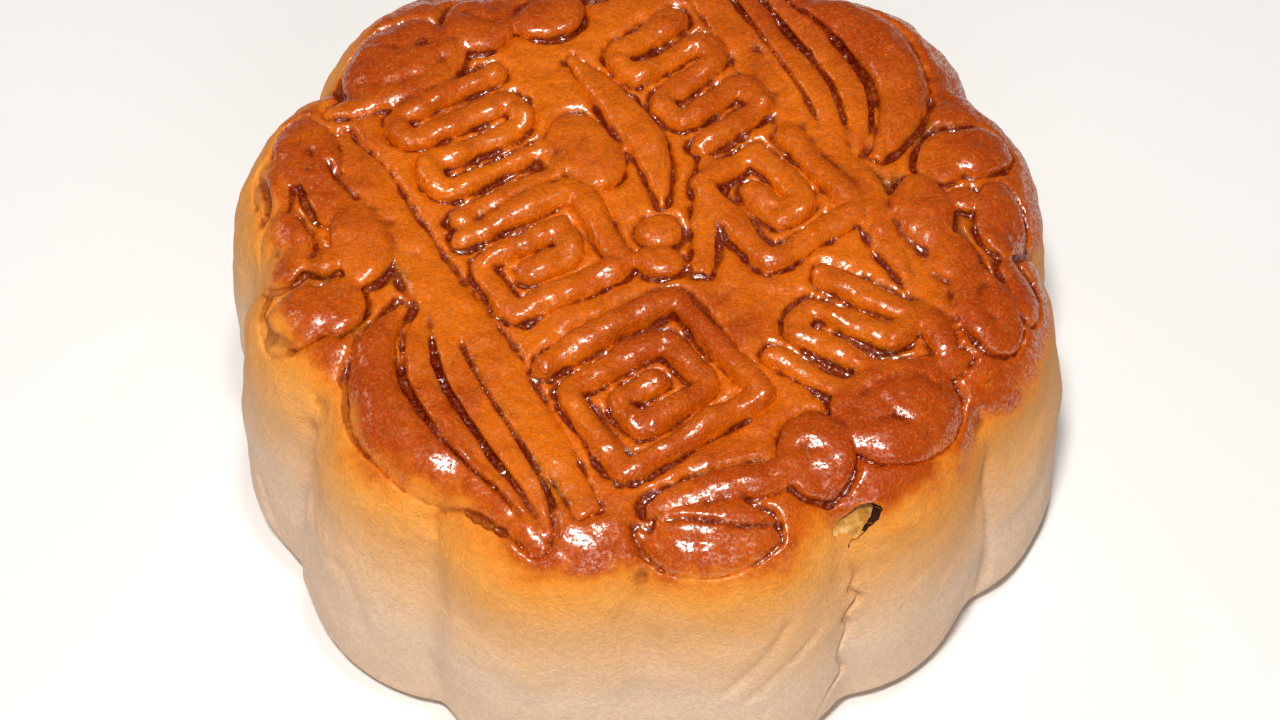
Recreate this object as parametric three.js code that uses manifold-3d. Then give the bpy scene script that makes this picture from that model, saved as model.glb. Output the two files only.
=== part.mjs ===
// A baked mooncake, one solid: a side of twelve round lobes, a rolled shoulder, a flat foot
// and a moulded top of bands, leaves, blossoms, a bud and plain key frets.
// Millimetres, +Z up, the middle of the foot's box at the origin.

import * as THREE from 'three';
import { mergeVertices } from 'three/addons/utils/BufferGeometryUtils.js';
import Module from 'manifold-3d';

// ---------------------------------------------------------------- driving dimensions

const LOBE_COUNT = 12;
const LOBE_REACH = 24; // from the cake's axis to the axis of each round lobe
const LOBE_RADIUS = 15; // of the lobe's arc, so the cake is 78 across
const FIRST_LOBE_ANGLE = -75; // degrees, the lobe just right of the front

const GROUND_HEIGHT = 33; // the sunk ground of the moulded top, at its edge
const CROWN_RISE = 0.6; // how far the ground swells up to the middle
const FOOT_ROUNDING = 3.1;
const SHOULDER_ROUNDING = 7.6;
const SHOULDER_LEAN = 3.4; // how strongly the side draws in towards the shoulder
const LEAN_START_SHARE = 0.33; // of the height
const WAIST_SWELL = 0.45; // how far the side bulges, a third of the way up
const SWELL_TOP_SHARE = 0.67; // of the height
const CORE_RADIUS = 34; // the round core that the lobes stand around

// Lobes that came out of the mould or the oven uneven: how far each stands out, in
// millimetres, at the shoulder and at the foot, counted anticlockwise from the first.
const UNEVEN_LOBES = [
  { lobe: 0, shoulder: 0.1, foot: -0.2 },
  { lobe: 1, shoulder: -0.2, foot: -0.8 },
  { lobe: 2, shoulder: 0.4, foot: 1.6 },
  { lobe: 3, shoulder: 0.5, foot: 0.1 },
  { lobe: 4, shoulder: 0.4, foot: 0.1 },
  { lobe: 5, shoulder: -0.4, foot: 0 },
  { lobe: 6, shoulder: -1.1, foot: -0.1 },
  { lobe: 7, shoulder: 0.4, foot: 0 },
  { lobe: 8, shoulder: 1.2, foot: 0.2 },
  { lobe: 9, shoulder: -0.8, foot: -1 },
  { lobe: 10, shoulder: -1.4, foot: 0 },
  { lobe: 11, shoulder: 0.2, foot: 0.2 },
];

const STEPS_PER_LOBE = 6;
const FOOT_STEPS = 3;
const SIDE_STEPS = 4;
const SHOULDER_STEPS = 5;
const INNER_RING_SHARE = 0.45;

const RELIEF_ROOT = 2.5; // how far the relief reaches down into the ground
const JOIN_TOLERANCE = 0.04; // slivers under this size are closed up
const PAD_SIDES = 14;
const FRET_RISE = 1.35;
const MIDDLE_FRET_RISE = 1.6; // the fret in front, which the oven raised the most
const FRET_WIDTH = 2.8;
const FRET_PITCH = 3.4;
const USUAL_FULLNESS = 0.6;

// Half of the moulded pattern: the other half is the same turned half round. A ridge runs
// smoothly through its points, with its width at the middle and how full its ends are.
const TURNED_RIDGES = [
  {
    name: 'band', rise: 0.85, width: 5.2, fullness: 0.3,
    points: [[-28.5, 11], [-25.3, 5.2], [-21.4, -2], [-15.2, -12.2], [-9.8, -21.5], [-4.4, -30.8]],
  },
  {
    name: 'outer leaf', rise: 1.5, width: 6, fullness: 0.7,
    points: [[-21.4, -8], [-24.2, -13.4], [-23.7, -19.6], [-19.8, -24.6], [-14, -28], [-8.6, -34.2]],
  },
  {
    name: 'middle leaf', rise: 0.95, width: 3.1,
    points: [[-19.6, -7.8], [-20.3, -13], [-19.1, -18.4], [-15.8, -23.6], [-10.8, -29.6]],
  },
  {
    name: 'inner leaf', rise: 1.2, width: 4.2, fullness: 0.7,
    points: [[-18.5, -8.6], [-17.2, -13.6], [-15, -18.6], [-11.6, -24.2], [-8.2, -33]],
  },
  {
    name: 'wave', rise: 1.25, width: 3.4, fullness: 0.4,
    points: [[-0.2, 30.2], [-4.2, 29.1], [-8.6, 28.2], [-13, 26.8], [-16, 25.2]],
  },
  {
    name: 'lip', rise: 1.05, width: 2.8,
    points: [[0.4, 31.8], [-1.8, 33.4], [-5.2, 34.4], [-8.6, 34.2], [-12.4, 32.4]],
  },
  {
    name: 'tongue', rise: 1.05, width: 3.2,
    points: [[-29.6, 13.6], [-26, 15.4], [-21.6, 15.6]],
  },
  {
    name: 'side leaf', rise: 0.95, width: 3.6, fullness: 0.8,
    points: [[-35.4, 9], [-34.6, 5.4], [-33.2, 1.6]],
  },
];

// Flat-topped swellings, turned half round too: middle, half widths, rise, and turn in
// degrees. The last six are a blossom, its petals and its eye.
const TURNED_PADS = [
  { name: 'back pad', middle: [-22.6, 19.6], half: [6.2, 5.2], rise: 1, turn: 20 },
  { name: 'side pad', middle: [-31.2, 8.6], half: [3, 4.8], rise: 0.95, turn: 20 },
  { name: 'rim pad', middle: [-15.4, 24.6], half: [3.6, 4], rise: 1 },
  { name: 'lens', middle: [-6.6, 31.6], half: [5.6, 1.8], rise: 0.5 },
  { name: 'right petal', middle: [-25.8, -1.9], half: [2.7, 4.3], rise: 1.2, turn: 12 },
  { name: 'left petal', middle: [-33, -1.8], half: [2.6, 3.9], rise: 1.05, turn: 4 },
  { name: 'lower petal', middle: [-31.2, -9.6], half: [3.5, 2.9], rise: 1.2, turn: 24 },
  { name: 'near petal', middle: [-27.6, -8.6], half: [2.5, 3.3], rise: 0.7, turn: -20 },
  { name: 'far petal', middle: [-28.4, 3], half: [2.4, 3.2], rise: 0.6, turn: 30 },
  { name: 'eye', middle: [-29.4, -3.6], half: [1.6, 1.5], rise: 0.8 },
];

// The middle of the top, which isn't turned half round.
const MIDDLE_RIDGES = [
  {
    name: 'bud', rise: 1.35, width: 4.2, fullness: 0.8,
    points: [[-6.6, 20], [-2.4, 14.6], [0.6, 9], [2, 2.6]],
  },
  {
    name: 'stem', rise: 1.15, width: 3, fullness: 0.2,
    points: [[6.2, 8.2], [5.9, 1.5], [5.4, -5]],
  },
  {
    name: 'right sprig', rise: 1.15, width: 2.9, fullness: 0.4,
    points: [[20.4, 4.2], [22.2, -0.6], [24, -5.4]],
  },
  {
    name: 'low sprig', rise: 1.05, width: 2.8, fullness: 0.5,
    points: [[24.2, -8.2], [26.6, -11.4], [27.6, -15.2]],
  },
];
const MIDDLE_PADS = [
  { name: 'hump', middle: [-5.2, 8.6], half: [3.3, 4.6], rise: 0.95, turn: 20 },
  { name: 'far hump', middle: [-8.8, 25], half: [3.6, 2.5], rise: 1.15, turn: 24 },
  { name: 'upper pad', middle: [1.6, -0.5], half: [2.2, 1.7], rise: 0.85 },
  { name: 'lower pad', middle: [1.7, -4], half: [2.3, 1.7], rise: 0.85 },
];

// Key frets: a meander runs to and fro, and a spiral winds inwards. Runs lie along the tilt.
const FRETS = [
  { kind: 'meander', middle: [-15.4, 9.6], tilt: 29, length: 10.6, runs: 5 },
  { kind: 'spiral', middle: [-9, -2.8], tilt: 28, length: 11.6, runs: 4 },
  { kind: 'spiral', middle: [0.8, -17.2], tilt: 34, length: 14.4, runs: 5, rise: MIDDLE_FRET_RISE },
  { kind: 'meander', middle: [4.4, 17.4], tilt: 38, length: 7.6, runs: 5 },
  { kind: 'spiral', middle: [12.6, 3.4], tilt: -56, length: 11.2, runs: 4 },
  { kind: 'meander', middle: [18.2, -12], tilt: -28, length: 9, runs: 4 },
];

const CRUST_COLOUR = 0xc8641a;
const CRUST_ROUGHNESS = 0.4;

// ---------------------------------------------------------------- the lobed body

const radians = THREE.MathUtils.degToRad;

function sideSwell(share) {
  // How far the side stands out of straight, at a share of the height.
  const swell = WAIST_SWELL * Math.sin(Math.PI * Math.min(1, share / SWELL_TOP_SHARE));
  return swell - SHOULDER_LEAN * Math.max(0, share - LEAN_START_SHARE) ** 2;
}

function lobeColumns(height) {
  // Each side lobe as a round column: where its axis stands, and its radius at a height.
  const share = height / GROUND_HEIGHT;
  return UNEVEN_LOBES.map(({ lobe, shoulder, foot }) => {
    const angle = radians(FIRST_LOBE_ANGLE + (lobe * 360) / LOBE_COUNT);
    return {
      x: LOBE_REACH * Math.cos(angle),
      y: LOBE_REACH * Math.sin(angle),
      radius: LOBE_RADIUS + sideSwell(share) + foot + (shoulder - foot) * share,
    };
  });
}

function outlineRadius(angle, height) {
  // How far the outermost column reaches at an angle.
  const cosine = Math.cos(angle);
  const sine = Math.sin(angle);
  let reach = 0;
  for (const { x, y, radius } of lobeColumns(height)) {
    const along = x * cosine + y * sine;
    const across = y * cosine - x * sine;
    if (along > 0 && Math.abs(across) < radius) {
      reach = Math.max(reach, along + Math.sqrt(radius ** 2 - across ** 2));
    }
  }
  return reach;
}

const SHOULDER_HEIGHT = GROUND_HEIGHT - SHOULDER_ROUNDING;
const SHOULDER_COLUMNS = [...lobeColumns(SHOULDER_HEIGHT), { x: 0, y: 0, radius: CORE_RADIUS }];

function groundHeight(x, y) {
  // The sunk ground of the top: highest in the middle, and rolling down over the shoulder
  // of whichever column it is still furthest inside.
  let past = SHOULDER_ROUNDING;
  for (const column of SHOULDER_COLUMNS) {
    const flat = column.radius - SHOULDER_ROUNDING;
    past = Math.min(past, Math.max(0, Math.hypot(x - column.x, y - column.y) - flat));
  }
  const drop = SHOULDER_ROUNDING - Math.sqrt(SHOULDER_ROUNDING ** 2 - past ** 2);
  const share = Math.min(1, Math.hypot(x, y) / CORE_RADIUS);
  return GROUND_HEIGHT + CROWN_RISE * (1 - share ** 2) - drop;
}

function sideRings() {
  // Heights and insets of the rings from the foot up to the shoulder.
  const rings = [];
  for (let step = 0; step <= FOOT_STEPS; step += 1) {
    const turn = (step / FOOT_STEPS) * (Math.PI / 2);
    const inset = FOOT_ROUNDING * (1 - Math.sin(turn));
    rings.push({ height: FOOT_ROUNDING * (1 - Math.cos(turn)), inset });
  }
  for (let step = 1; step < SIDE_STEPS; step += 1) {
    const height = THREE.MathUtils.lerp(FOOT_ROUNDING, SHOULDER_HEIGHT, step / SIDE_STEPS);
    rings.push({ height, inset: 0 });
  }
  return rings;
}

function topRings() {
  // Shares of the shoulder's outline, from the shoulder in over the top.
  const rings = [];
  const reach = LOBE_REACH + LOBE_RADIUS;
  for (let step = 0; step <= SHOULDER_STEPS; step += 1) {
    const turn = (step / SHOULDER_STEPS) * (Math.PI / 2);
    rings.push(1 - (SHOULDER_ROUNDING * (1 - Math.cos(turn))) / reach);
  }
  return [...rings, INNER_RING_SHARE];
}

function lobedBody() {
  const around = LOBE_COUNT * STEPS_PER_LOBE;
  const positions = [];
  const triangles = [];
  const angles = Array.from({ length: around }, (_, step) => {
    return radians(FIRST_LOBE_ANGLE - 180 / LOBE_COUNT) + (step / around) * Math.PI * 2;
  });
  const lowRings = sideRings();
  for (const { height, inset } of lowRings) {
    for (const angle of angles) {
      const radius = outlineRadius(angle, height) - inset;
      positions.push(radius * Math.cos(angle), radius * Math.sin(angle), height);
    }
  }
  const highRings = topRings();
  for (const share of highRings) {
    for (const angle of angles) {
      const radius = share * outlineRadius(angle, SHOULDER_HEIGHT);
      const x = radius * Math.cos(angle);
      const y = radius * Math.sin(angle);
      positions.push(x, y, share === 1 ? SHOULDER_HEIGHT : groundHeight(x, y));
    }
  }
  const ringCount = lowRings.length + highRings.length;
  const footMiddle = positions.length / 3;
  const topMiddle = footMiddle + 1;
  positions.push(0, 0, 0);
  positions.push(0, 0, groundHeight(0, 0));
  for (let step = 0; step < around; step += 1) {
    const next = (step + 1) % around;
    triangles.push(footMiddle, next, step);
    for (let ring = 0; ring < ringCount - 1; ring += 1) {
      const low = ring * around;
      const high = low + around;
      triangles.push(low + step, low + next, high + next, low + step, high + next, high + step);
    }
    const last = (ringCount - 1) * around;
    triangles.push(last + step, last + next, topMiddle);
  }
  return closedGeometry(positions, triangles);
}

function closedGeometry(positions, triangles) {
  const geometry = new THREE.BufferGeometry();
  geometry.setAttribute('position', new THREE.Float32BufferAttribute(positions, 3));
  geometry.setIndex(triangles);
  return geometry;
}

// ---------------------------------------------------------------- the moulded relief

// A ridge's section, from its left root over its round top to its right root: the share of
// the half width, and the share of the rise, where null is the root in the ground.
const RIDGE_SECTION = [[-1, null], [-1, 0.3], [-0.78, 0.86], [0, 1], [0.78, 0.86], [1, 0.3], [1, null]];

// A pad's section, from its root in to its middle, in the same shares.
const PAD_SECTION = [[1, null], [1, 0.3], [0.82, 0.86]];

function standing(x, y, rise, up) {
  // The height of a point of the relief: at a share of its rise, or at its root.
  const ground = groundHeight(x, y);
  return up === null ? ground - RELIEF_ROOT : ground + rise * up;
}

function sweptRidge(stations, rise) {
  // A closed ridge through stations, each with a place, a sideways step and a half width.
  const positions = [];
  const triangles = [];
  const size = RIDGE_SECTION.length;
  for (const { place, side } of stations) {
    for (const [across, up] of RIDGE_SECTION) {
      const x = place.x + side.x * across;
      const y = place.y + side.y * across;
      positions.push(x, y, standing(x, y, rise, up));
    }
  }
  for (let station = 0; station < stations.length - 1; station += 1) {
    for (let corner = 0; corner < size; corner += 1) {
      const next = (corner + 1) % size;
      const near = station * size;
      const far = near + size;
      triangles.push(near + corner, near + next, far + next, near + corner, far + next, far + corner);
    }
  }
  const last = (stations.length - 1) * size;
  for (let corner = 1; corner < size - 1; corner += 1) {
    triangles.push(0, corner + 1, corner);
    triangles.push(last, last + corner, last + corner + 1);
  }
  return closedGeometry(positions, triangles);
}

function smoothRidge({ points, width, rise, fullness = USUAL_FULLNESS }) {
  // A curved ridge that narrows to its ends: fullness 0 keeps its width, 1 is a slim leaf.
  const curve = new THREE.SplineCurve(points.map(([x, y]) => new THREE.Vector2(x, y)));
  const steps = 2 * points.length;
  const stations = [];
  for (let step = 0; step <= steps; step += 1) {
    const share = step / steps;
    const along = curve.getTangent(share);
    const taper = Math.max(0.16, Math.sin(Math.PI * share)) ** fullness;
    const side = new THREE.Vector2(along.y, -along.x).multiplyScalar((taper * width) / 2);
    stations.push({ place: curve.getPoint(share), side });
  }
  return sweptRidge(stations, rise);
}

function meanderPath(length, runs) {
  // To and fro, a pitch further each time.
  const path = [];
  for (let run = 0; run < runs; run += 1) {
    const y = (run - (runs - 1) / 2) * FRET_PITCH;
    const start = run % 2 ? length / 2 : -length / 2;
    path.push(new THREE.Vector2(start, y), new THREE.Vector2(-start, y));
  }
  return path;
}

function spiralPath(length, runs) {
  // Round and inwards, each second run a pitch shorter.
  const depth = (runs - 1) * FRET_PITCH;
  const place = new THREE.Vector2(-length / 2, depth / 2);
  const heading = new THREE.Vector2(1, 0);
  const reach = [length, depth];
  const path = [place.clone()];
  for (let leg = 0; leg < 2 * runs - 1; leg += 1) {
    const axis = leg % 2;
    if (leg > 2 || (leg === 2 && axis === 1)) {
      reach[axis] -= FRET_PITCH;
    }
    if (reach[axis] < FRET_PITCH * 0.8) {
      break;
    }
    place.addScaledVector(heading, reach[axis]);
    path.push(place.clone());
    heading.set(heading.y, -heading.x);
  }
  return path;
}

function fretRidge({ kind, middle, tilt, length, runs, rise = FRET_RISE }) {
  // A ridge of one width along a squared path, with mitred corners.
  const flat = kind === 'spiral' ? spiralPath(length, runs) : meanderPath(length, runs);
  const turned = flat.map((point) => {
    return point.rotateAround(new THREE.Vector2(), radians(tilt)).add(new THREE.Vector2(...middle));
  });
  const stations = turned.map((place, index) => {
    const before = turned[Math.max(0, index - 1)];
    const after = turned[Math.min(turned.length - 1, index + 1)];
    const arriving = place.clone().sub(before).normalize();
    const leaving = after.clone().sub(place).normalize();
    const along = arriving.add(leaving).normalize();
    const corner = index > 0 && index < turned.length - 1 ? Math.SQRT2 : 1;
    const side = new THREE.Vector2(along.y, -along.x).multiplyScalar((corner * FRET_WIDTH) / 2);
    return { place, side };
  });
  return sweptRidge(stations, rise);
}

function pad({ middle, half, rise, turn = 0 }) {
  // A swelling with a steep edge and a flat top.
  const positions = [];
  const triangles = [];
  for (const [share, up] of PAD_SECTION) {
    for (let step = 0; step < PAD_SIDES; step += 1) {
      const angle = (step / PAD_SIDES) * Math.PI * 2;
      const corner = new THREE.Vector2(half[0] * Math.cos(angle), half[1] * Math.sin(angle));
      corner.multiplyScalar(share).rotateAround(new THREE.Vector2(), radians(turn));
      const x = middle[0] + corner.x;
      const y = middle[1] + corner.y;
      positions.push(x, y, standing(x, y, rise, up));
    }
  }
  const root = positions.length / 3;
  const crown = root + 1;
  positions.push(...middle, standing(...middle, rise, null));
  positions.push(...middle, standing(...middle, rise, 1));
  for (let step = 0; step < PAD_SIDES; step += 1) {
    const next = (step + 1) % PAD_SIDES;
    triangles.push(root, next, step);
    for (let ring = 0; ring < PAD_SECTION.length - 1; ring += 1) {
      const low = ring * PAD_SIDES;
      const high = low + PAD_SIDES;
      triangles.push(low + step, low + next, high + next, low + step, high + next, high + step);
    }
    const last = (PAD_SECTION.length - 1) * PAD_SIDES;
    triangles.push(last + step, last + next, crown);
  }
  return closedGeometry(positions, triangles);
}

// ---------------------------------------------------------------- joining it all

const wasm = await Module();
wasm.setup();

function toManifold(geometry) {
  geometry.deleteAttribute('normal');
  geometry.deleteAttribute('uv');
  const merged = mergeVertices(geometry);
  const solid = new wasm.Manifold(new wasm.Mesh({
    numProp: 3,
    vertProperties: new Float32Array(merged.attributes.position.array),
    triVerts: new Uint32Array(merged.index.array),
  }));
  return solid;
}

function toGeometry(solid) {
  const mesh = solid.getMesh();
  return closedGeometry(Array.from(mesh.vertProperties), Array.from(mesh.triVerts));
}

function halfTurned(geometry) {
  return geometry.clone().rotateZ(Math.PI);
}

function buildCake() {
  const turned = [
    ...TURNED_RIDGES.map(smoothRidge),
    ...TURNED_PADS.map(pad),
  ];
  const relief = [
    ...turned,
    ...turned.map(halfTurned),
    ...MIDDLE_RIDGES.map(smoothRidge),
    ...MIDDLE_PADS.map(pad),
    ...FRETS.map(fretRidge),
  ];
  let cake = toManifold(lobedBody());
  for (const piece of relief) {
    cake = cake.add(toManifold(piece));
  }
  const geometry = toGeometry(cake.simplify(JOIN_TOLERANCE));
  geometry.computeBoundingBox();
  const middle = geometry.boundingBox.getCenter(new THREE.Vector3());
  geometry.translate(-middle.x, -middle.y, 0);
  return geometry;
}

const crust = new THREE.MeshStandardMaterial({
  color: CRUST_COLOUR,
  roughness: CRUST_ROUGHNESS,
  metalness: 0,
});
const mooncake = new THREE.Mesh(buildCake(), crust);
mooncake.name = 'mooncake';

const model = new THREE.Group();
model.add(mooncake);
export default model;
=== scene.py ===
"""A baked mooncake: its moulded, glazed crust and a plain studio around it.

The cake is modelled in millimetres from a few driving sizes, and brought to metres last.
"""

import logging
import math
import random
from dataclasses import dataclass, field, replace
from enum import Enum
from typing import Sequence

import bpy
import numpy as np
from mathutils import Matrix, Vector
from mathutils.kdtree import KDTree


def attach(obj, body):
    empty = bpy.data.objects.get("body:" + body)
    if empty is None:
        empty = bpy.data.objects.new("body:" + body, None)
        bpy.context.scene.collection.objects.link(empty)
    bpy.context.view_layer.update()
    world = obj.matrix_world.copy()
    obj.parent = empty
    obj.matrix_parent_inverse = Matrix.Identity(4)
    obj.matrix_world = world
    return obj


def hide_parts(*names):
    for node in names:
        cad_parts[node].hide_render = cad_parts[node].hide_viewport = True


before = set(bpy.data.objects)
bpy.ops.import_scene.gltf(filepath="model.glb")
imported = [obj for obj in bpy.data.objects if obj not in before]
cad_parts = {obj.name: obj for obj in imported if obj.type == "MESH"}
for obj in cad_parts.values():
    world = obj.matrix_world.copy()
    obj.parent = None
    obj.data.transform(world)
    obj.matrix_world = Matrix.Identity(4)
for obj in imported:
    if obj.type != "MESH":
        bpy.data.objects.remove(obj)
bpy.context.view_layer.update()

LOG = logging.getLogger("mooncake")
NODE = "mooncake"
BODY = "root"
MM = 0.001
SEED = 12

Point = tuple[float, float]
Colour = tuple[float, float, float]


# ------------------------------------------------------------------ working by operators


def deselect_all() -> None:
    """Leaves no object selected and none in edit mode."""
    if bpy.context.object and bpy.context.object.mode != "OBJECT":
        bpy.ops.object.mode_set(mode="OBJECT")
    bpy.ops.object.select_all(action="DESELECT")


def select_only(*pieces: bpy.types.Object) -> None:
    """Selects these objects alone, the first of them active.

    Args:
        pieces: the objects.
    """
    deselect_all()
    for piece in pieces:
        piece.select_set(True)
    bpy.context.view_layer.objects.active = pieces[0]


def start_disc(sides: int, radius: float, name: str, **where: object) -> bpy.types.Object:
    """Draws a disc that a shell is pulled out of.

    Args:
        sides: how many sides it has.
        radius: its radius.
        name: the object's name.
        where: its place and its turn.

    Returns:
        The disc.
    """
    deselect_all()
    bpy.ops.mesh.primitive_circle_add(vertices=sides, radius=radius, fill_type="NGON", **where)
    disc = bpy.context.object
    disc.name = name
    return disc


def open_shell() -> None:
    """Enters edit mode with everything selected."""
    bpy.ops.object.mode_set(mode="EDIT")
    bpy.ops.mesh.select_all(action="SELECT")


def close_shell() -> None:
    """Turns all faces outwards and leaves edit mode."""
    bpy.ops.mesh.select_all(action="SELECT")
    bpy.ops.mesh.normals_make_consistent(inside=False)
    bpy.ops.object.mode_set(mode="OBJECT")


def settle(piece: bpy.types.Object) -> None:
    """Brings an object's place, turn and size into its mesh."""
    select_only(piece)
    bpy.ops.object.transform_apply(location=True, rotation=True, scale=True)


def join(pieces: Sequence[bpy.types.Object], name: str) -> bpy.types.Object:
    """Joins objects into the first one.

    Args:
        pieces: the objects, which are used up.
        name: the joined object's name.

    Returns:
        The joined object, with its place in its mesh.
    """
    select_only(*pieces)
    bpy.ops.object.join()
    whole = bpy.context.object
    whole.name = name
    whole.data.name = name
    settle(whole)
    return whole


def apply_modifier(piece: bpy.types.Object, kind: str, **settings: object) -> None:
    """Adds a modifier to a piece, sets it and applies it.

    Args:
        piece: the object.
        kind: the modifier's type.
        settings: the modifier's own settings.
    """
    select_only(piece)
    modifier = piece.modifiers.new(kind.title(), kind)
    for key, value in settings.items():
        setattr(modifier, key, value)
    bpy.ops.object.modifier_apply(modifier=modifier.name)


def soften(piece: bpy.types.Object, passes: int) -> None:
    """Smooths a piece this many times."""
    apply_modifier(piece, "SMOOTH", factor=0.5, iterations=passes)


def fuse(piece: bpy.types.Object, voxel: float, passes: int) -> None:
    """Fuses overlapping shells into one skin and softens its edges.

    Args:
        piece: the object whose shells overlap.
        voxel: the fineness of the new skin, in millimetres.
        passes: how often the skin is smoothed.
    """
    apply_modifier(piece, "REMESH", mode="VOXEL", voxel_size=voxel, adaptivity=0.0)
    soften(piece, passes)


def read_points(piece: bpy.types.Object, what: str = "co") -> np.ndarray:
    """The places, or the normals, of all of a mesh's vertices.

    Args:
        piece: the object.
        what: "co" for the places, "normal" for the normals.

    Returns:
        One row for each vertex.
    """
    flat = np.empty(len(piece.data.vertices) * 3)
    if what == "normal":
        piece.data.vertex_normals.foreach_get("vector", flat)
    else:
        piece.data.vertices.foreach_get("co", flat)
    return flat.reshape(-1, 3)


def write_points(piece: bpy.types.Object, places: np.ndarray) -> None:
    """Moves all of a mesh's vertices to these places."""
    piece.data.vertices.foreach_set("co", places.ravel())
    piece.data.update()


def softened(piece: bpy.types.Object, passes: int) -> np.ndarray:
    """The places that the vertices would have after this many passes of smoothing.

    Args:
        piece: the object, which stays as it is.
        passes: how often it would be smoothed.

    Returns:
        One row for each vertex.
    """
    select_only(piece)
    bpy.ops.object.duplicate()
    copy = bpy.context.object
    soften(copy, passes)
    places = read_points(copy)
    bpy.data.objects.remove(copy)
    return places


def blurred(piece: bpy.types.Object, values: np.ndarray, passes: int) -> np.ndarray:
    """Values on the vertices, each averaged with its neighbours' this many times.

    Args:
        piece: the object whose edges say what lies beside what.
        values: one value for each vertex.
        passes: how often they are averaged.

    Returns:
        The averaged values.
    """
    ends = np.empty(len(piece.data.edges) * 2, dtype=np.int32)
    piece.data.edges.foreach_get("vertices", ends)
    near, far = ends[::2], ends[1::2]
    count = np.bincount(ends, minlength=len(values)) + 1
    for _ in range(passes):
        total = (values + np.bincount(near, values[far], len(values))
                 + np.bincount(far, values[near], len(values)))
        values = total / count
    return values


def smooth_step(value: np.ndarray, low: float, high: float) -> np.ndarray:
    """A soft step from 0 at low to 1 at high."""
    share = np.clip((value - low) / (high - low), 0.0, 1.0)
    return share * share * (3 - 2 * share)


def turned(points: Sequence[Point], way: int) -> tuple[Point, ...]:
    """Points as they are where the way is 1, or half round where it is -1."""
    return tuple((way * x, way * y) for x, y in points)


def curve_points(points: Sequence[Point], count: int) -> list[Vector]:
    """Points along a smooth curve.

    Args:
        points: the points that it runs through.
        count: how many steps it takes.

    Returns:
        The places, on the flat.
    """
    last = len(points) - 1
    knots = [Vector(point) for point in points]
    places = []
    for step in range(count + 1):
        along = step / count * last
        index = min(int(along), last - 1)
        share = along - index
        start, end = knots[index], knots[index + 1]
        leaving = (end - knots[max(index - 1, 0)]) / 2
        arriving = (knots[min(index + 2, last)] - start) / 2
        places.append(
            (2 * start - 2 * end + leaving + arriving) * share**3
            + (3 * end - 3 * start - 2 * leaving - arriving) * share**2
            + leaving * share + start)
    return places


# ------------------------------------------------------------------ the lobed body


@dataclass(frozen=True)
class Lobe:
    """One round lobe of the side, and how far it stands out at its shoulder and foot."""

    shoulder: float = 0.0
    foot: float = 0.0


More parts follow.
